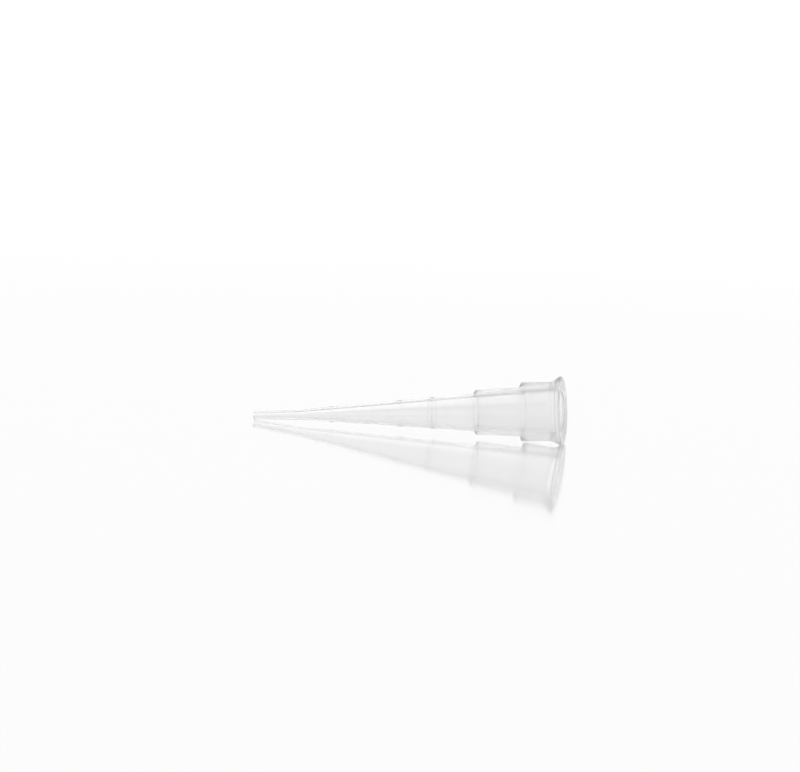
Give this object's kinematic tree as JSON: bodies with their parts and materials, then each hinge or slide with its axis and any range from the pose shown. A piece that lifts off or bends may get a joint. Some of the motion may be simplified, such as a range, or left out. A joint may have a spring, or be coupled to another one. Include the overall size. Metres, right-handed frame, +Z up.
{
  "type": "pipette tip",
  "caption": "Fine laboratory pipette tip lying on its side: flared mouth, two stepped collars, a long thin-walled cone with raised graduation rings, and a small orifice.",
  "frame": {"origin": "under the middle of the tip's box, on the surface that it lies on", "axes": "+X from the fine end towards the mouth, +Z up; the tip's own axis lies in the XZ plane and rises 5.6 degrees towards the mouth"},
  "size_m": [0.0322, 0.007, 0.007],
  "materials": {
    "clear_polypropylene": "translucent, slightly hazy natural polypropylene with a smooth moulded gloss"
  },
  "bodies": {
    "root": {"pipette_tip": "clear_polypropylene"}
  },
  "joints": []
}
